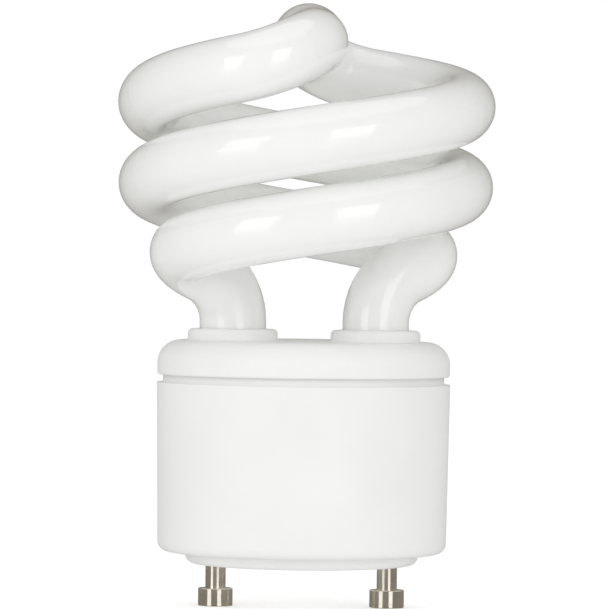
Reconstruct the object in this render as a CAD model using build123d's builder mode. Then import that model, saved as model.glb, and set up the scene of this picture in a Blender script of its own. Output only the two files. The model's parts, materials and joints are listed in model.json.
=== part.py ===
from build123d import *
import math
import os

os.makedirs("parts", exist_ok=True)

# Spiral fluorescent lamp with a two-pin twist-lock base.
# Millimetres. +Z runs up the lamp's axis, the pin ends lie on Z = 0 and the pins stand on the X axis.

# Contact pins
pin_pitch = 24.0
pin_head_d = 4.85
pin_head_h = 2.5
pin_neck_d = 2.85
pin_drop = 6.05  # from the boss face down to the pin ends
pin_edge = 0.1
pin_stake_d = 4.3  # rim peened over inside the housing
pin_stake_h = 0.7
pin_cup_h = 2.2  # solder cup above the peened rim
pin_cup_d = 1.4
pin_cup_depth = 2.6
pin_hole_gap = 0.05

# Lower housing
boss_margin = 1.875  # from the pin heads out to the boss's edge
boss_h = 1.65
boss_edge_r = 1.2
housing_rim_d = 41.1
housing_taper = 0.35  # how far each side leans in from the rim to the base
housing_h = 23.6
housing_edge_r = 1.4
housing_wall = 1.45
housing_floor = 1.5
rib_count = 4
rib_w = 2.0
rib_seat = 1.4  # how far the ribs reach under the board

# Upper cap
groove_h = 1.05
groove_depth = 0.8
cap_step = 0.05  # how far the cap's side stands inside the housing's rim
cap_h = 4.9
cap_edge_r = 3.2
cap_lip_r = 0.45
cap_top = 1.6
skirt_wall = 1.2
skirt_depth = 4.2
skirt_gap = 0.15
snap_drop = 2.1  # from the housing's rim down to the snap bead
snap_reach = 0.35
snap_h = 1.0
snap_gap = 0.1
collar_wall = 1.4
collar_h = 1.6
collar_edge_r = 0.7
sleeve_h = 3.0
cement_t = 0.8
cement_h = 2.4
bond_gap = 0.03

# Glass spiral
tube_d = 9.3
tube_gap = 0.25  # between the tube and its hole in the cap
foot_pitch = 20.0
coil_d = 52.8
leg_straight = 1.0  # upright run above the collar
leg_turn = 30.0  # angle about the axis, in degrees, where the leg has become coil
leg_r = 18.8  # distance from the axis there
leg_h = 9.5  # height of the coil's lowest turn above the collar
swell_turn = 228.0  # angle where the coil has its full width
lower_gap = 1.3  # between turns in the lower half of the coil
upper_gap = 2.1
coil_turn = 425.0  # angle where the coil ends and the bend over the top begins
coil_stations = 9
crown_rise = 9.45  # from the coil's last level to the crown
crown_dip = 1.25  # how far the bend's end lies below the crown
crown_run = 11.5  # distance from the axis to the bend's end
crown_sway = 0.95  # how far the bend swings past the middle
crown_skew = 0.1  # slant of the tube where it crosses the axis
crown_slope = 0.05
tube_stand = 3.0  # from the board up to the tube's ends
tube_end_r = 2.0
tip_d = 2.2
tip_h = 1.5

# Circuit board
board_t = 1.6
board_gap = 0.5
lead_d = 0.6
lead_out = 0.8  # how far leads show above the board
lead_root = 1.0  # how far leads reach into a body
drill_gap = 0.1
lead_lane = 2.4  # free strip along X for the supply leads
part_gap = 1.0

# Wiring
supply_lead_d = 1.0
filament_lead_d = 0.5
filament_pitch = 3.2
filament_bend_r = 0.6
filament_run_h = 1.7  # height of the filament leads above the board
post_w = 0.8
post_h = 3.0
post_tip = 0.2
post_root = 1.4
post_clear = 0.9  # from the tube's side to the post

# Choke
core_w = 13.0
core_h = 12.0
core_d = 6.0
core_back = 1.5
core_leg = 1.5
core_middle = 3.0
core_gap = 0.1
bobbin_wall = 0.6
bobbin_d = 10.0
bobbin_flange_w = 9.4
bobbin_lift = 0.5  # from the board to the core
winding_inset = 0.4

# Other parts under the board
electrolytic_d = 8.0
electrolytic_h = 12.5
electrolytic_pitch = 3.5
electrolytic_edge_r = 0.6
electrolytic_crimp = 0.35
film_w = 4.0
film_l = 8.0
film_h = 8.0
film_pitch = 5.0
film_edge_r = 0.8
toroid_d = 8.0
toroid_hole_d = 4.4
toroid_h = 3.2
toroid_edge_r = 0.3
toroid_coat = 0.6
toroid_gap = 0.05
toroid_arc = 50.0
toroid_windings = 3
toroid_lead_angle = 10.0  # from each end of a winding to its lead
inductor_d = 6.0
inductor_h = 8.0
inductor_core_d = 2.6
inductor_flange = 1.0
inductor_pitch = 4.0
transistor_d = 4.7
transistor_flat = 1.3
transistor_h = 4.7
transistor_lift = 2.0
transistor_pitch = 1.27
fuse_d = 3.0
fuse_l = 7.0
fuse_pitch = 11.0
diac_d = 1.9
diac_l = 4.0
diac_pitch = 7.6
diac_angle = 225.0  # about the axis, in degrees from the right-hand pin
axial_lift = 0.1
axial_bend_r = 0.8

# Parts on top of the board
diode_w = 2.6
diode_l = 4.3
diode_h = 2.0
diode_taper = 0.4
diode_tab_l = 0.5
diode_tab_w = 1.4
diode_tab_h = 0.3
chip_w = 1.6
chip_l = 3.2
chip_h = 0.55
chip_end = 0.5
chip_step = 0.05

# Levels above the pin ends
boss_z = pin_drop
base_z = boss_z + boss_h
floor_z = base_z + housing_floor
well_z = boss_z + housing_floor
rim_z = base_z + housing_h
cap_z = rim_z + groove_h
cap_top_z = cap_z + cap_h
cap_under_z = cap_top_z - cap_top
sleeve_z = cap_under_z - sleeve_h
collar_z = cap_top_z + collar_h
board_top_z = rim_z - skirt_depth
board_z = board_top_z - board_t
tube_end_z = board_top_z + tube_stand
cup_z = well_z + pin_stake_h + pin_cup_h
snap_z = rim_z - snap_drop

# Radii and places that follow from the sizes above
boss_d = pin_pitch + pin_head_d + 2 * boss_margin
housing_base_d = housing_rim_d - 2 * housing_taper
cap_d = housing_rim_d - 2 * cap_step
tube_r = tube_d / 2
coil_r = coil_d / 2 - tube_r
foot_x = foot_pitch / 2
pin_x = pin_pitch / 2
bore_r = housing_rim_d / 2 - housing_wall
well_r = boss_d / 2 - housing_wall
neck_r = cap_d / 2 - groove_depth
skirt_r = bore_r - skirt_gap
skirt_in_r = skirt_r - skirt_wall
board_r = bore_r - board_gap
rib_in_r = board_r - rib_seat
hole_r = tube_r + tube_gap
collar_r = hole_r + collar_wall
cement_r = hole_r + cement_t

STANDING = (Align.CENTER, Align.CENTER, Align.MIN)
HANGING = (Align.CENTER, Align.CENTER, Align.MAX)
LEVEL_BAND = 0.001
PROBE_TURN = 1.0
QUARTER_TURN = 90.0
HALF_TURN = 180.0
FULL_TURN = 360.0

drilled = []  # where leads pass through the board


def save(builder, label):
    """Name a finished piece and write it out."""
    builder.part.label = label
    export_step(builder.part, f"parts/{label}.step")


def edges_at(builder, height):
    """Edges that lie at one height."""
    return builder.edges().filter_by_position(Axis.Z, height - LEVEL_BAND, height + LEVEL_BAND)


def under_board(x, y, angle=0):
    """Plane on the underside of the board, facing down into the housing."""
    along = (math.cos(math.radians(angle)), math.sin(math.radians(angle)), 0)
    return Plane((x, y, board_z), x_dir=along, z_dir=(0, 0, -1))


def section_of(seat):
    """Upright plane through such a seat, with its Y axis pointing down."""
    return Plane(seat.origin, x_dir=seat.x_dir, z_dir=-seat.y_dir)


def leads(seat, *places, root=lead_root):
    """Round leads from a part under the board up through it; the board is drilled where they pass."""
    with Locations(*[(x, y, root) for x, y in places]):
        Cylinder(lead_d / 2, root + board_t + lead_out, align=HANGING)
    drilled.extend(seat.from_local_coords((x, y, 0)) for x, y in places)


# Glass spiral: two strands that wind up from the feet and meet over the top, one half turn apart
lower_rise = tube_d + lower_gap
upper_rise = tube_d + upper_gap


def coil_point(turn):
    """Point of the tube's centreline at an angle about the axis, in degrees from the right-hand foot."""
    swell = min(1.0, (turn - leg_turn) / (swell_turn - leg_turn))
    radius = leg_r + (coil_r - leg_r) * math.sin(swell * math.pi / 2)
    rise = lower_rise if turn < HALF_TURN else upper_rise
    height = collar_z + leg_h + lower_rise + rise * (turn - HALF_TURN) / HALF_TURN
    angle = math.radians(turn)
    return Vector(radius * math.cos(angle), radius * math.sin(angle), height)


def coil_station(turn):
    """Point and direction of the centreline at an angle about the axis."""
    return coil_point(turn), (coil_point(turn + PROBE_TURN) - coil_point(turn - PROBE_TURN)).normalized()


def biarc(start, start_way, end, end_way):
    """Two arcs that join two points and keep the direction at both."""
    chord = end - start
    ways = start_way + end_way
    spread = 2 * (1 - start_way.dot(end_way))
    slack = math.sqrt(chord.dot(ways) ** 2 + spread * chord.dot(chord))
    reach = (slack - chord.dot(ways)) / spread
    first_knee = start + start_way * reach
    second_knee = end - end_way * reach
    middle = (first_knee + second_knee) / 2
    TangentArc(start, middle, tangent=start_way)
    TangentArc(middle, end, tangent=second_knee - first_knee)


crown_z = collar_z + leg_h + lower_rise + upper_rise + crown_rise
strand = [(Vector(foot_x, 0, collar_z + leg_straight), Vector(0, 0, 1))]
for step in range(coil_stations + 1):
    strand.append(coil_station(leg_turn + (coil_turn - leg_turn) * step / coil_stations))
strand.append((Vector(-crown_sway, crown_run, crown_z - crown_dip), Vector(0, -1, crown_slope).normalized()))
crown = (Vector(0, 0, crown_z), Vector(crown_skew, -1, 0).normalized())
other_strand = [
    (point.rotate(Axis.Z, HALF_TURN), way.rotate(Axis.Z, HALF_TURN) * -1) for point, way in reversed(strand)
]
stations = strand + [crown] + other_strand
foot = Vector(foot_x, 0, tube_end_z)
other_foot = Vector(-foot_x, 0, tube_end_z)

with BuildPart() as glass_spiral:
    with BuildLine():
        Line(foot, stations[0][0])
        for (start, start_way), (end, end_way) in zip(stations, stations[1:]):
            biarc(start, start_way, end, end_way)
        Line(stations[-1][0], other_foot)
    with BuildSketch(Plane(foot)):
        Circle(tube_r)
    sweep()
    fillet(edges_at(glass_spiral, tube_end_z), tube_end_r)
    with Locations(other_foot):
        Cylinder(tip_d / 2, tip_h, align=HANGING)
save(glass_spiral, "glass_spiral")

# Lower housing: cup with a stepped boss, ribs that carry the board and holes for the pins
with BuildPart() as lower_housing:
    with BuildSketch(Plane.XZ):
        with BuildLine():
            Polyline(
                (0, boss_z),
                (boss_d / 2, boss_z),
                (boss_d / 2, base_z),
                (housing_base_d / 2, base_z),
                (housing_rim_d / 2, rim_z),
                (bore_r, rim_z),
                (bore_r, snap_z + snap_h / 2 + snap_gap),
                (bore_r + snap_reach, snap_z),
                (bore_r, snap_z - snap_h / 2 - snap_gap),
                (bore_r, floor_z),
                (well_r, floor_z),
                (well_r, well_z),
                (0, well_z),
                close=True,
            )
        make_face()
    revolve(axis=Axis.Z)
    fillet(edges_at(lower_housing, base_z).sort_by(SortBy.RADIUS)[-1], housing_edge_r)
    fillet(edges_at(lower_housing, boss_z), boss_edge_r)
    with Locations((0, 0, floor_z)):
        with PolarLocations(rib_in_r, rib_count):
            Box(
                bore_r + housing_wall / 2 - rib_in_r,
                rib_w,
                board_z - floor_z,
                align=(Align.MIN, Align.CENTER, Align.MIN),
            )
    with Locations((-pin_x, 0, well_z), (pin_x, 0, well_z)):
        Hole(pin_neck_d / 2 + pin_hole_gap)
save(lower_housing, "lower_housing")

# Upper cap: rounded cover with a snap-in skirt, a collar and an inner sleeve for each foot of the tube
with BuildPart() as upper_cap:
    with BuildSketch(Plane.XZ):
        with BuildLine():
            Polyline(
                (0, cap_top_z),
                (cap_d / 2, cap_top_z),
                (cap_d / 2, cap_z),
                (neck_r, cap_z),
                (neck_r, rim_z),
                (skirt_r, rim_z),
                (skirt_r, snap_z + snap_h / 2),
                (skirt_r + snap_reach, snap_z),
                (skirt_r, snap_z - snap_h / 2),
                (skirt_r, board_top_z),
                (skirt_in_r, board_top_z),
                (skirt_in_r, cap_under_z),
                (0, cap_under_z),
                close=True,
            )
        make_face()
    revolve(axis=Axis.Z)
    fillet(edges_at(upper_cap, cap_top_z), cap_edge_r)
    fillet(edges_at(upper_cap, cap_z).sort_by(SortBy.RADIUS)[-1], cap_lip_r)
    with Locations((-foot_x, 0, cap_top_z), (foot_x, 0, cap_top_z)):
        Cylinder(collar_r, collar_h, align=STANDING)
    fillet(edges_at(upper_cap, collar_z), collar_edge_r)
    with Locations((-foot_x, 0, cap_under_z), (foot_x, 0, cap_under_z)):
        Cylinder(cement_r + collar_wall, sleeve_h, align=HANGING)
    with Locations((-foot_x, 0, collar_z), (foot_x, 0, collar_z)):
        Cylinder(hole_r, collar_z - sleeve_z, align=HANGING, mode=Mode.SUBTRACT)
    with Locations((-foot_x, 0, sleeve_z), (foot_x, 0, sleeve_z)):
        Cylinder(cement_r, cement_h, align=STANDING, mode=Mode.SUBTRACT)
save(upper_cap, "upper_cap")

# Rings of lamp cement that hold the tube's feet in the sleeves
for side, x in (("left", -foot_x), ("right", foot_x)):
    with BuildPart(Plane((x, 0, sleeve_z))) as tube_cement:
        Cylinder(cement_r - bond_gap, cement_h, align=STANDING)
        Cylinder(tube_r + bond_gap, cement_h, align=STANDING, mode=Mode.SUBTRACT)
    save(tube_cement, f"tube_cement_{side}")

# Turned contact pins, peened over inside the housing, with a solder cup for the supply lead
for side, x in (("left", -pin_x), ("right", pin_x)):
    with BuildPart(Plane((x, 0, 0))) as contact_pin:
        Cylinder(pin_head_d / 2, pin_head_h, align=STANDING)
        chamfer(contact_pin.edges().filter_by(GeomType.CIRCLE), pin_edge)
        Cylinder(pin_neck_d / 2, cup_z, align=STANDING)
        with Locations((0, 0, well_z)):
            Cylinder(pin_stake_d / 2, pin_stake_h, align=STANDING)
        with Locations((0, 0, cup_z)):
            Hole(pin_cup_d / 2, pin_cup_depth)
    save(contact_pin, f"contact_pin_{side}")

# Supply leads from the solder cups to the board
for side, x in (("left", -pin_x), ("right", pin_x)):
    with BuildPart(Plane((x, 0, cup_z - pin_cup_depth))) as supply_lead:
        Cylinder(supply_lead_d / 2, board_top_z + lead_out - cup_z + pin_cup_depth, align=STANDING)
    save(supply_lead, f"supply_lead_{side}")

# Choke: two ferrite halves on a bobbin with its winding, behind the lane of the supply leads
choke_y = lead_lane / 2 + bobbin_d / 2
choke_seat = under_board(0, choke_y)
window_h = core_h - 2 * core_back
window_top = bobbin_lift + core_back
tube_w = core_middle + 2 * core_gap
tube_depth = core_d + 2 * core_gap
rail_w = bobbin_d / 2 - tube_depth / 2
pin_row = bobbin_flange_w / 2 - lead_d
pin_line = bobbin_d / 2 - rail_w / 2
winding_h = window_h - 2 * core_gap - 2 * bobbin_wall
window_w = (core_w - core_middle) / 2 - core_leg
window_x = core_middle / 2 + window_w / 2

with BuildPart(choke_seat) as choke_bobbin:
    with Locations((0, 0, window_top + core_gap)):
        Box(tube_w + 2 * bobbin_wall, tube_depth + 2 * bobbin_wall, window_h - 2 * core_gap, align=STANDING)
        Box(bobbin_flange_w, bobbin_d, bobbin_wall, align=STANDING)
    with Locations((0, 0, window_top + window_h - core_gap)):
        Box(bobbin_flange_w, bobbin_d, bobbin_wall, align=HANGING)
    Box(tube_w, tube_depth, window_top + window_h, align=STANDING, mode=Mode.SUBTRACT)
    with Locations((0, tube_depth / 2 + rail_w / 2, 0), (0, -tube_depth / 2 - rail_w / 2, 0)):
        Box(bobbin_flange_w, rail_w, window_top + core_gap + bobbin_wall, align=STANDING)
    leads(choke_seat, (pin_row, pin_line), (-pin_row, pin_line), (pin_row, -pin_line), (-pin_row, -pin_line))
save(choke_bobbin, "choke_bobbin")

with BuildPart(choke_seat) as choke_winding:
    with Locations((0, 0, window_top + core_gap + bobbin_wall)):
        Box(bobbin_flange_w - 2 * winding_inset, bobbin_d - 2 * winding_inset, winding_h, align=STANDING)
        fillet(choke_winding.edges().filter_by(Axis.Z), bobbin_wall)
        Box(
            tube_w + 2 * bobbin_wall + 2 * bond_gap,
            tube_depth + 2 * bobbin_wall + 2 * bond_gap,
            winding_h,
            align=STANDING,
            mode=Mode.SUBTRACT,
        )
save(choke_winding, "choke_winding")

for half, back_z, align in (
    ("upper", bobbin_lift, STANDING),
    ("lower", bobbin_lift + core_h, HANGING),
):
    with BuildPart(choke_seat) as choke_core:
        with Locations((0, 0, back_z)):
            Box(core_w, core_d, core_h / 2, align=align)
        with Locations((-window_x, 0, window_top), (window_x, 0, window_top)):
            Box(window_w, core_d, window_h, align=STANDING, mode=Mode.SUBTRACT)
    save(choke_core, f"choke_core_{half}")

# Film capacitors on either side of the choke
film_x = core_w / 2 + part_gap + film_w / 2
film_y = lead_lane / 2 + film_l / 2
for name, x in (("starting_capacitor", -film_x), ("coupling_capacitor", film_x)):
    film_seat = under_board(x, film_y)
    with BuildPart(film_seat) as film_capacitor:
        Box(film_w, film_l, film_h, align=STANDING)
        fillet(film_capacitor.edges(), film_edge_r)
        leads(film_seat, (0, film_pitch / 2), (0, -film_pitch / 2))
    save(film_capacitor, name)

# Row in front of the lane: smoothing capacitor, drive toroid and line inductor, from left to right
toroid_coat_t = toroid_gap + toroid_coat
toroid_room = toroid_d + 2 * toroid_coat_t
row_w = electrolytic_d + toroid_room + inductor_d + 2 * part_gap
electrolytic_x = (electrolytic_d - row_w) / 2
toroid_x = electrolytic_x + electrolytic_d / 2 + part_gap + toroid_room / 2
inductor_x = toroid_x + toroid_room / 2 + part_gap + inductor_d / 2

electrolytic_y = -(lead_lane + electrolytic_d) / 2
electrolytic_seat = under_board(electrolytic_x, electrolytic_y)
with BuildPart(electrolytic_seat) as electrolytic_capacitor:
    Cylinder(electrolytic_d / 2, electrolytic_h, align=STANDING)
    fillet(electrolytic_capacitor.edges().filter_by(GeomType.CIRCLE), electrolytic_edge_r)
    with Locations((0, 0, 2 * electrolytic_edge_r + electrolytic_crimp)):
        Torus(electrolytic_d / 2, electrolytic_crimp, mode=Mode.SUBTRACT)
    leads(electrolytic_seat, (0, electrolytic_pitch / 2), (0, -electrolytic_pitch / 2))
save(electrolytic_capacitor, "electrolytic_capacitor")

toroid_y = -(lead_lane + toroid_room) / 2
with BuildPart(under_board(toroid_x, toroid_y)) as drive_toroid:
    with Locations((0, 0, toroid_coat_t)):
        Cylinder(toroid_d / 2, toroid_h, align=STANDING)
        Cylinder(toroid_hole_d / 2, toroid_h, align=STANDING, mode=Mode.SUBTRACT)
    fillet(drive_toroid.edges().filter_by(GeomType.CIRCLE), toroid_edge_r)
save(drive_toroid, "drive_toroid")

ring_w = (toroid_d - toroid_hole_d) / 2
ring_r = (toroid_d + toroid_hole_d) / 4
lead_angles = [math.radians(angle) for angle in (toroid_lead_angle, toroid_arc - toroid_lead_angle)]
lead_ends = [(ring_r * math.cos(angle), ring_r * math.sin(angle)) for angle in lead_angles]
for index in range(toroid_windings):
    winding_seat = under_board(toroid_x, toroid_y, index * FULL_TURN / toroid_windings)
    with BuildPart(winding_seat) as drive_winding:
        with BuildSketch(section_of(winding_seat)):
            with Locations((ring_r, toroid_coat_t + toroid_h / 2)):
                Rectangle(ring_w + 2 * toroid_coat_t, toroid_h + 2 * toroid_coat_t)
                Rectangle(ring_w + 2 * toroid_gap, toroid_h + 2 * toroid_gap, mode=Mode.SUBTRACT)
        revolve(axis=Axis(winding_seat.origin, winding_seat.z_dir), revolution_arc=toroid_arc)
        leads(winding_seat, *lead_ends, root=toroid_coat / 2)
    save(drive_winding, f"drive_winding_{index + 1}")

inductor_seat = under_board(inductor_x, -(lead_lane + inductor_d) / 2)
with BuildPart(inductor_seat) as line_inductor_core:
    Cylinder(inductor_core_d / 2, inductor_h, align=STANDING)
    Cylinder(inductor_d / 2, inductor_flange, align=STANDING)
    with Locations((0, 0, inductor_h)):
        Cylinder(inductor_d / 2, inductor_flange, align=HANGING)
    leads(inductor_seat, (inductor_pitch / 2, 0), (-inductor_pitch / 2, 0), root=inductor_flange / 2)
save(line_inductor_core, "line_inductor_core")

wound_h = inductor_h - 2 * inductor_flange
with BuildPart(inductor_seat) as line_inductor_winding:
    with Locations((0, 0, inductor_flange)):
        Cylinder(inductor_d / 2 - winding_inset, wound_h, align=STANDING)
        Cylinder(inductor_core_d / 2 + bond_gap, wound_h, align=STANDING, mode=Mode.SUBTRACT)
save(line_inductor_winding, "line_inductor_winding")

# Switching transistors behind the choke
transistor_x = rib_w / 2 + part_gap + transistor_d / 2
transistor_y = choke_y + bobbin_d / 2 + part_gap + transistor_d / 2
lead_row = [(-transistor_pitch, 0), (0, 0), (transistor_pitch, 0)]
for index, x in enumerate((-transistor_x, transistor_x)):
    transistor_seat = under_board(x, transistor_y)
    with BuildPart(transistor_seat) as transistor:
        with BuildSketch(transistor_seat.offset(transistor_lift)):
            Circle(transistor_d / 2)
            with Locations((0, -transistor_flat)):
                Rectangle(transistor_d, transistor_d, align=(Align.CENTER, Align.MAX), mode=Mode.SUBTRACT)
        extrude(amount=transistor_h)
        leads(transistor_seat, *lead_row, root=transistor_lift + lead_root)
    save(transistor, f"transistor_{index + 1}")


def lying_axial(seat, body_d, body_l, pitch, label):
    """Part with a lead at each end, lying under the board with its leads bent up through it."""
    axis_z = axial_lift + body_d / 2
    tip_z = -board_t - lead_out
    ends = [(-pitch / 2, 0), (pitch / 2, 0)]
    with BuildPart(seat) as axial:
        with BuildLine(section_of(seat)):
            FilletPolyline(
                (-pitch / 2, tip_z),
                (-pitch / 2, axis_z),
                (pitch / 2, axis_z),
                (pitch / 2, tip_z),
                radius=axial_bend_r,
            )
        with BuildSketch(seat.offset(tip_z)):
            with Locations(ends[0]):
                Circle(lead_d / 2)
        sweep()
        with Locations((0, 0, axis_z)):
            Cylinder(body_d / 2, body_l, rotation=(0, QUARTER_TURN, 0))
    drilled.extend(seat.from_local_coords((x, y, 0)) for x, y in ends)
    save(axial, label)


# Fusible resistor in front of the toroid
fuse_y = -(lead_lane / 2 + toroid_room + part_gap + fuse_d / 2)
lying_axial(under_board(0, fuse_y), fuse_d, fuse_l, fuse_pitch, "fusible_resistor")

# Diac midway between the smoothing capacitor and the cap's skirt
diac_way = Vector(math.cos(math.radians(diac_angle)), math.sin(math.radians(diac_angle)))
diac_inner = Vector(electrolytic_x, electrolytic_y).dot(diac_way) + (electrolytic_d + diac_d) / 2
diac_outer = math.sqrt(skirt_in_r**2 - ((diac_pitch + lead_d) / 2) ** 2) - lead_d / 2
diac_place = diac_way * (diac_inner + diac_outer) / 2
diac_seat = under_board(diac_place.X, diac_place.Y, diac_angle + QUARTER_TURN)
lying_axial(diac_seat, diac_d, diac_l, diac_pitch, "diac")

# Rectifier diodes in a block on top of the board
diode_step_x = diode_w + part_gap
diode_step_y = diode_l + 2 * diode_tab_l + part_gap
diode_places = GridLocations(diode_step_x, diode_step_y, 2, 2).locations
for index, place in enumerate(diode_places):
    with BuildPart(Plane((place.position.X, choke_y + place.position.Y, board_top_z))) as rectifier_diode:
        Box(diode_w, diode_l, diode_h, align=STANDING)
        chamfer(rectifier_diode.faces().sort_by(Axis.Z)[-1].edges(), diode_taper)
        Box(diode_tab_w, diode_l + 2 * diode_tab_l, diode_tab_h, align=STANDING)
    save(rectifier_diode, f"rectifier_diode_{index + 1}")

# Chip resistors on top of the board, midway between the supply leads and the cap's skirt
chip_y = lead_lane / 2 + part_gap + chip_l / 2
chip_outer = math.sqrt(skirt_in_r**2 - (chip_y + chip_l / 2) ** 2)
chip_x = (pin_x + supply_lead_d / 2 + chip_outer) / 2
for index, (x, y) in enumerate(((-chip_x, -chip_y), (-chip_x, chip_y), (chip_x, -chip_y), (chip_x, chip_y))):
    with BuildPart(Plane((x, y, board_top_z))) as chip_resistor:
        Box(chip_w - 2 * chip_step, chip_l, chip_h - chip_step, align=STANDING)
        with Locations((0, chip_l / 2 - chip_end / 2, 0), (0, chip_end / 2 - chip_l / 2, 0)):
            Box(chip_w, chip_end, chip_h, align=STANDING)
    save(chip_resistor, f"chip_resistor_{index + 1}")

# Posts on the board, and the filament leads that run to them from the ends of the tube
post_face_y = tube_r + post_clear
post_y = post_face_y + post_w / 2
run_z = board_top_z + filament_run_h
post_places = [(x, side) for x in (-foot_x, foot_x) for side in (-1, 1)]
for index, (x, side) in enumerate(post_places):
    with BuildPart(Plane((x, side * post_y, board_top_z - post_root))) as wrap_post:
        Box(post_w, post_w, post_root + post_h, align=STANDING)
        chamfer(wrap_post.faces().sort_by(Axis.Z)[-1].edges(), post_tip)
    save(wrap_post, f"wrap_post_{index + 1}")

    lead_start = Vector(x, side * filament_pitch / 2, tube_end_z)
    with BuildPart() as filament_lead:
        with BuildLine():
            FilletPolyline(
                lead_start,
                (x, side * filament_pitch / 2, run_z),
                (x, side * post_face_y, run_z),
                radius=filament_bend_r,
            )
        with BuildSketch(Plane(lead_start, z_dir=(0, 0, -1))):
            Circle(filament_lead_d / 2)
        sweep()
    save(filament_lead, f"filament_lead_{index + 1}")

# Circuit board, drilled for every lead, with square holes for the posts
with BuildPart(Plane((0, 0, board_z))) as circuit_board:
    Cylinder(board_r, board_t, align=STANDING)
    with Locations(*[(place.X, place.Y, board_t) for place in drilled]):
        Hole(lead_d / 2 + drill_gap)
    with Locations((-pin_x, 0, board_t), (pin_x, 0, board_t)):
        Hole(supply_lead_d / 2 + drill_gap)
    with Locations(*[(x, side * post_y, 0) for x, side in post_places]):
        Box(
            post_w + 2 * drill_gap,
            post_w + 2 * drill_gap,
            board_t,
            align=STANDING,
            mode=Mode.SUBTRACT,
        )
save(circuit_board, "circuit_board")
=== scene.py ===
import json
import math

import bmesh
import bpy
from mathutils import Matrix, Vector


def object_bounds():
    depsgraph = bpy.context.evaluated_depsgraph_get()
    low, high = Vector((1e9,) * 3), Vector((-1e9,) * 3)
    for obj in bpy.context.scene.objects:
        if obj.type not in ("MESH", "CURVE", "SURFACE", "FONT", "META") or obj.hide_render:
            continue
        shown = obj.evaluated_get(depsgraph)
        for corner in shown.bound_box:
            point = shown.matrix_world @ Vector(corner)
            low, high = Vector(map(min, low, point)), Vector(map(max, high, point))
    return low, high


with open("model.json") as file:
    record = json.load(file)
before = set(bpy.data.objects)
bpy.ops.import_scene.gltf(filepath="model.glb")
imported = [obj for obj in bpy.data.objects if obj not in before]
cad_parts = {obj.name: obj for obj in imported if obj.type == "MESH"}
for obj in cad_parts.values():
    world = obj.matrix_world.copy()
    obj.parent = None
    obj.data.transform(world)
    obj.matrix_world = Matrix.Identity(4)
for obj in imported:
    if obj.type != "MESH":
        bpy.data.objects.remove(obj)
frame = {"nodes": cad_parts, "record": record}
cad_low, cad_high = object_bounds()
nodes = frame["nodes"]

# Camera, in metres and degrees, with lens and sensor in millimetres.
CAMERA_DISTANCE = 0.650
CAMERA_HEIGHT = 0.0490
CAMERA_LENS = 274.4
CAMERA_SENSOR = 36.0
CAMERA_ROLL = 0.7
CAMERA_NEAR = 0.01
CAMERA_FAR = 20.0
AIM_HEIGHT = 0.04233

# Floor. Its glow makes it white where it is seen, and its fill is what it adds to the light on the lamp.
FLOOR_RADIUS = 3.0
FLOOR_SIDES = 96
FLOOR_COLOUR = (0.94, 0.94, 0.94, 1.0)
FLOOR_GLOW = 0.32
FLOOR_FILL = 0.10

# Light. Azimuth 0 is the camera's side and grows to its right. Each box has its azimuth and its watts.
AMBIENT = 0.76
SOFTBOX_DISTANCE = 1.2
SOFTBOX_SIZE = (0.56, 0.72)
SOFTBOX_RISE = 15.0
SOFTBOXES = {"softbox_left": (-41.0, 1.85), "softbox_right": (27.0, 1.95)}
BOUNCES = 24

# Grey sheets, one to each step of azimuth, as radius and height from under the lamp to the top of the set.
SHEET_STEP = 30
SHEET_INNER = 0.002
SHEET_OUTER = 1.6
SHEET_LIFT = 0.00005
SHEET_TOP = 2.4
SHEET_PROFILE = [(SHEET_INNER, SHEET_LIFT), (SHEET_OUTER, SHEET_LIFT), (SHEET_OUTER, SHEET_TOP)]
SHEET_COLOUR = (0.30, 0.28, 0.245, 1.0)
SHEET_ROUGHNESS = 0.05

# Painted shade under the cap's edge, a dark line where the groove's shadow falls: heights above the
# housing's rim, and the share of the colour that is left.
PAINTED_SHADE_LOW = 0.00050
PAINTED_SHADE_HIGH = 0.00115
PAINTED_SHADE_PEAK = 0.98
PAINTED_SHADE_LEVEL = 0.86

# Most of a noise pattern lies between these values.
NOISE_LOW = 0.35
NOISE_HIGH = 0.65

# Spread of the roughness and strength of the grain on the pieces inside the base.
HIDDEN_SPREAD = 0.08
HIDDEN_GRAIN = 0.4

WHITE = (1.0, 1.0, 1.0, 1.0)
EVEN = (1.0, 1.0, 1.0)


def on_sphere(azimuth, elevation, distance):
    """Point at a distance from the middle of the lamp, seen at these angles."""
    a = math.radians(azimuth)
    e = math.radians(elevation)
    away = Vector((math.sin(a) * math.cos(e), -math.cos(a) * math.cos(e), math.sin(e)))
    return Vector((0, 0, AIM_HEIGHT)) + away * distance


def aimed(place):
    """Matrix of a camera or light at a place, turned to the middle of the lamp."""
    target = Vector((0, 0, AIM_HEIGHT))
    turn = (target - place).to_track_quat("-Z", "Y").to_matrix().to_4x4()
    return Matrix.Translation(place) @ turn


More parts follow.
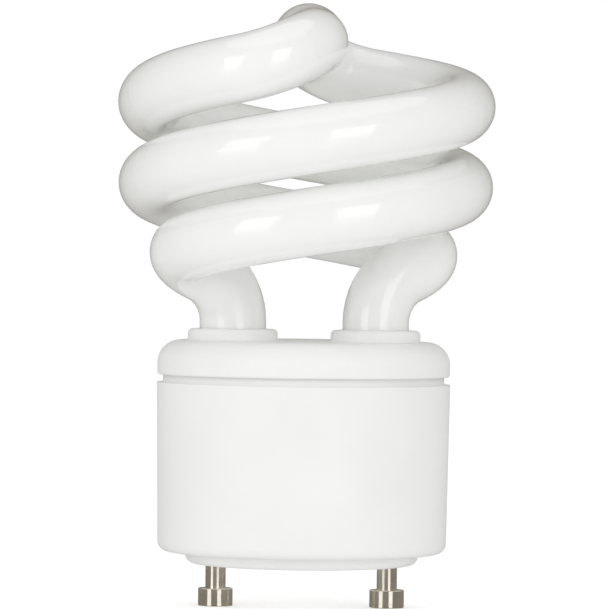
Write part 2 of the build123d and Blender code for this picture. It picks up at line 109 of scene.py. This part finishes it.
class Shader:
    """Node tree of one material, with short calls for the nodes that the finishes share."""

    def __init__(self, name):
        self.material = bpy.data.materials.new(name)
        self.material.use_nodes = True
        self.tree = self.material.node_tree
        self.surface = self.tree.nodes["Principled BSDF"]

    def link(self, source, target):
        self.tree.links.new(source, target)

    def set(self, **values):
        """Set the shader's own sockets, named with underscores for spaces."""
        for name, value in values.items():
            self.surface.inputs[name.replace("_", " ")].default_value = value

    def feed(self, name, source):
        """Drive one of the shader's sockets by a pattern."""
        self.link(source, self.surface.inputs[name])

    def place(self):
        """Position on the piece, in metres of the frame."""
        return self.tree.nodes.new("ShaderNodeTexCoord").outputs["Object"]

    def noise(self, scale, detail=2.0, fineness=EVEN):
        """Noise with features of about 1 / scale metres, made finer along each axis by its own factor."""
        mapping = self.tree.nodes.new("ShaderNodeMapping")
        mapping.inputs["Scale"].default_value = [scale * share for share in fineness]
        self.link(self.place(), mapping.inputs["Vector"])
        node = self.tree.nodes.new("ShaderNodeTexNoise")
        node.inputs["Scale"].default_value = 1.0
        node.inputs["Detail"].default_value = detail
        self.link(mapping.outputs["Vector"], node.inputs["Vector"])
        return node.outputs["Fac"]

    def colours(self, pattern, dark, light):
        """Colour that goes from dark to light over a noise pattern."""
        ramp = self.tree.nodes.new("ShaderNodeValToRGB")
        first, last = ramp.color_ramp.elements
        first.position = NOISE_LOW
        first.color = (*dark, 1.0)
        last.position = NOISE_HIGH
        last.color = (*light, 1.0)
        self.link(pattern, ramp.inputs["Fac"])
        return ramp.outputs["Color"]

    def with_painted_shade(self, colour, low, high, shade):
        """Colour with painted shade: it darkens upwards to a shade between two heights, and is plain above
        and below them.
        """
        split = self.tree.nodes.new("ShaderNodeSeparateXYZ")
        self.link(self.place(), split.inputs["Vector"])
        height = self.tree.nodes.new("ShaderNodeMapRange")
        height.inputs["From Min"].default_value = low
        height.inputs["From Max"].default_value = high
        self.link(split.outputs["Z"], height.inputs["Value"])
        ramp = self.tree.nodes.new("ShaderNodeValToRGB")
        below, darkest = ramp.color_ramp.elements
        below.color = WHITE
        darkest.position = PAINTED_SHADE_PEAK
        darkest.color = (shade, shade, shade, 1.0)
        above = ramp.color_ramp.elements.new(1.0)
        above.color = WHITE
        self.link(height.outputs["Result"], ramp.inputs["Fac"])
        product = self.tree.nodes.new("ShaderNodeVectorMath")
        product.operation = "MULTIPLY"
        self.link(colour, product.inputs[0])
        self.link(ramp.outputs["Color"], product.inputs[1])
        return product.outputs["Vector"]

    def between(self, factor, low, high):
        """Number that goes from low to high as the factor goes from 0 to 1."""
        node = self.tree.nodes.new("ShaderNodeMapRange")
        node.inputs["To Min"].default_value = low
        node.inputs["To Max"].default_value = high
        self.link(factor, node.inputs["Value"])
        return node.outputs["Result"]

    def bump(self, pattern, depth, strength):
        """Normal of a surface with this pattern as its height, depth metres deep."""
        node = self.tree.nodes.new("ShaderNodeBump")
        node.inputs["Distance"].default_value = depth
        node.inputs["Strength"].default_value = strength
        self.link(pattern, node.inputs["Height"])
        return node.outputs["Normal"]


def coated_glass():
    """Clear glass over a white powder coating: matt white under a hard gloss."""
    s = Shader("coated_glass")
    s.feed("Base Color", s.colours(s.noise(180, detail=3.0), (0.945, 0.946, 0.940), (0.960, 0.961, 0.955)))
    s.feed("Normal", s.bump(s.noise(5200), depth=0.00001, strength=0.25))
    s.set(Roughness=0.55, Specular_IOR_Level=0.2)
    s.set(Coat_Weight=1.0, Coat_Roughness=0.004, Coat_IOR=1.62, Coat_Tint=(0.985, 0.988, 0.980, 1.0))
    return s.material


def base_plastic():
    """White moulded plastic with a fine satin grain, and a painted shade line in the groove under the cap.
    """
    s = Shader("base_plastic")
    tone = s.colours(s.noise(90, detail=4.0), (0.890, 0.890, 0.884), (0.914, 0.914, 0.909))
    rim = max(corner[2] for corner in nodes["lower_housing"].bound_box)
    # Painted shade: the colour darkens in a thin line under the cap's edge, where the groove is shadowed.
    s.feed("Base Color", s.with_painted_shade(tone, rim + PAINTED_SHADE_LOW, rim + PAINTED_SHADE_HIGH, PAINTED_SHADE_LEVEL))
    s.feed("Roughness", s.between(s.noise(700, detail=3.0), 0.36, 0.50))
    s.feed("Normal", s.bump(s.noise(4200, detail=3.0), depth=0.00002, strength=0.30))
    s.set(Specular_IOR_Level=0.45)
    return s.material


def pin_nickel():
    """Bright nickel over turned brass, whose fine lathe rings draw its gloss out along the pin."""
    s = Shader("pin_nickel")
    s.feed("Base Color", s.colours(s.noise(600, detail=3.0), (0.80, 0.75, 0.67), (0.88, 0.84, 0.76)))
    s.feed("Roughness", s.between(s.noise(900, fineness=(0.2, 0.2, 6.0)), 0.16, 0.22))
    s.feed("Normal", s.bump(s.noise(900, fineness=(0.05, 0.05, 12.0)), depth=0.00001, strength=0.10))
    round_axis = s.tree.nodes.new("ShaderNodeTangent")
    round_axis.axis = "Z"
    s.feed("Tangent", round_axis.outputs["Tangent"])
    s.set(Metallic=1.0, Anisotropic=1.0, Anisotropic_Rotation=0.25)
    return s.material


def hidden_part(name, dark, light, roughness, scale, depth, metallic=0.0, fineness=EVEN):
    """Finish of a piece inside the base: two shades of its colour, and a grain of this scale and depth."""
    s = Shader(name)
    grain = s.noise(scale, detail=3.0, fineness=fineness)
    s.feed("Base Color", s.colours(grain, dark, light))
    s.feed("Roughness", s.between(grain, roughness - HIDDEN_SPREAD, roughness + HIDDEN_SPREAD))
    s.feed("Normal", s.bump(grain, depth, HIDDEN_GRAIN))
    s.set(Metallic=metallic)
    return s.material


def finishes():
    """Material for each slot of the record, in place of the plain ones that came with the frame."""
    for plain in list(bpy.data.materials):
        bpy.data.materials.remove(plain)
    turns = (0.05, 0.05, 4.0)
    made = [
        coated_glass(),
        base_plastic(),
        pin_nickel(),
        hidden_part("lamp_cement", (0.78, 0.75, 0.68), (0.88, 0.86, 0.80), 0.85, 2500, 0.00006),
        hidden_part("tinned_wire", (0.62, 0.61, 0.58), (0.78, 0.77, 0.74), 0.32, 1500, 0.00001,
                    metallic=1.0),
        hidden_part("ferrite", (0.06, 0.06, 0.065), (0.11, 0.11, 0.115), 0.60, 3500, 0.00002),
        hidden_part("copper_winding", (0.42, 0.15, 0.05), (0.70, 0.32, 0.13), 0.35, 900, 0.00008,
                    metallic=0.8, fineness=turns),
        hidden_part("bobbin_plastic", (0.05, 0.05, 0.055), (0.08, 0.08, 0.085), 0.50, 3000, 0.00001),
        hidden_part("film_epoxy", (0.38, 0.10, 0.04), (0.52, 0.16, 0.07), 0.25, 700, 0.00003),
        hidden_part("capacitor_sleeve", (0.03, 0.035, 0.09), (0.05, 0.06, 0.13), 0.30, 900, 0.00001),
        hidden_part("black_epoxy", (0.022, 0.022, 0.024), (0.04, 0.04, 0.042), 0.55, 5000, 0.00001),
        hidden_part("resistor_coat", (0.26, 0.36, 0.34), (0.36, 0.46, 0.44), 0.60, 2500, 0.00002),
        hidden_part("diac_glass", (0.06, 0.12, 0.38), (0.10, 0.19, 0.50), 0.15, 600, 0.00001),
        hidden_part("board_laminate", (0.56, 0.38, 0.18), (0.72, 0.53, 0.29), 0.65, 1200, 0.00002),
    ]
    return {material.name: material for material in made}


def dress(materials):
    """Give each piece of the lamp the finish of its slot."""
    for part in frame["record"]["subparts"]:
        mesh = nodes[part["node"]].data
        mesh.materials.clear()
        mesh.materials.append(materials[part["material_slot"]])


def seen_ray(tree):
    """1 on rays that show a surface, straight or by gloss or glass, and 0 on rays that light another one."""
    path = tree.nodes.new("ShaderNodeLightPath")
    total = path.outputs["Is Camera Ray"]
    for name in ("Is Glossy Ray", "Is Transmission Ray"):
        either = tree.nodes.new("ShaderNodeMath")
        either.operation = "MAXIMUM"
        tree.links.new(total, either.inputs[0])
        tree.links.new(path.outputs[name], either.inputs[1])
        total = either.outputs[0]
    return total


def place_in_scene(name, data):
    """New object of the scene with this mesh, light or camera."""
    thing = bpy.data.objects.new(name, data)
    bpy.context.scene.collection.objects.link(thing)
    return thing


def mesh_of(name, shape, material):
    """Mesh with one material from a finished shape."""
    mesh = bpy.data.meshes.new(name)
    shape.to_mesh(mesh)
    shape.free()
    mesh.materials.append(material)
    return mesh


def make_floor():
    """Round pale floor under the pins, which shows white and keeps the lamp's shadow."""
    s = Shader("floor")
    s.set(Base_Color=FLOOR_COLOUR, Roughness=1.0, Specular_IOR_Level=0.0, Emission_Color=WHITE)
    s.feed("Emission Strength", s.between(seen_ray(s.tree), FLOOR_FILL, FLOOR_GLOW))
    shape = bmesh.new()
    bmesh.ops.create_circle(shape, cap_ends=True, segments=FLOOR_SIDES, radius=FLOOR_RADIUS)
    floor = place_in_scene("floor", mesh_of("floor", shape, s.material))
    floor.location.z = cad_low.z


def make_world():
    """Even light from all round, and a white background."""
    world = bpy.data.worlds.new("studio")
    world.use_nodes = True
    tree = world.node_tree
    background = tree.nodes["Background"]
    background.inputs["Color"].default_value = WHITE
    level = tree.nodes.new("ShaderNodeMapRange")
    level.inputs["To Min"].default_value = AMBIENT
    level.inputs["To Max"].default_value = 1.0
    tree.links.new(seen_ray(tree), level.inputs["Value"])
    tree.links.new(level.outputs["Result"], background.inputs["Strength"])
    bpy.context.scene.world = world


def make_softboxes():
    """Two soft boxes beside the camera."""
    for name, (azimuth, power) in SOFTBOXES.items():
        data = bpy.data.lights.new(name, "AREA")
        data.shape = "RECTANGLE"
        data.size, data.size_y = SOFTBOX_SIZE
        data.energy = power
        lamp = place_in_scene(name, data)
        lamp.matrix_world = aimed(on_sphere(azimuth, SOFTBOX_RISE, SOFTBOX_DISTANCE))
        lamp.visible_camera = False


def make_sheets():
    """Glossy grey sheets over the floor and up round the set, which only the lamp's gloss shows."""
    s = Shader("sheets")
    s.set(Base_Color=SHEET_COLOUR, Roughness=SHEET_ROUGHNESS)
    shape = bmesh.new()
    for azimuth in range(0, 360, SHEET_STEP):
        rows = []
        for radius, height in SHEET_PROFILE:
            sides = [on_sphere(azimuth + share * SHEET_STEP, 0.0, radius) for share in (-0.5, 0.5)]
            rows.append([shape.verts.new((side.x, side.y, height)) for side in sides])
        for near, far in zip(rows, rows[1:]):
            shape.faces.new((near[0], near[1], far[1], far[0]))
    sheets = place_in_scene("sheets", mesh_of("sheets", shape, s.material))
    sheets.visible_camera = False
    sheets.visible_diffuse = False
    sheets.visible_shadow = False


def make_camera():
    """Camera before the lamp, a little above its middle and slightly rolled."""
    data = bpy.data.cameras.new("camera")
    data.lens = CAMERA_LENS
    data.sensor_width = CAMERA_SENSOR
    data.clip_start = CAMERA_NEAR
    data.clip_end = CAMERA_FAR
    camera = place_in_scene("camera", data)
    roll = Matrix.Rotation(math.radians(CAMERA_ROLL), 4, "Z")
    camera.matrix_world = aimed(Vector((0, -CAMERA_DISTANCE, CAMERA_HEIGHT))) @ roll
    bpy.context.scene.camera = camera


dress(finishes())
make_floor()
make_world()
make_softboxes()
make_sheets()
make_camera()
bpy.context.scene.view_settings.view_transform = "Standard"
bpy.context.scene.cycles.max_bounces = BOUNCES
bpy.context.scene.cycles.diffuse_bounces = BOUNCES
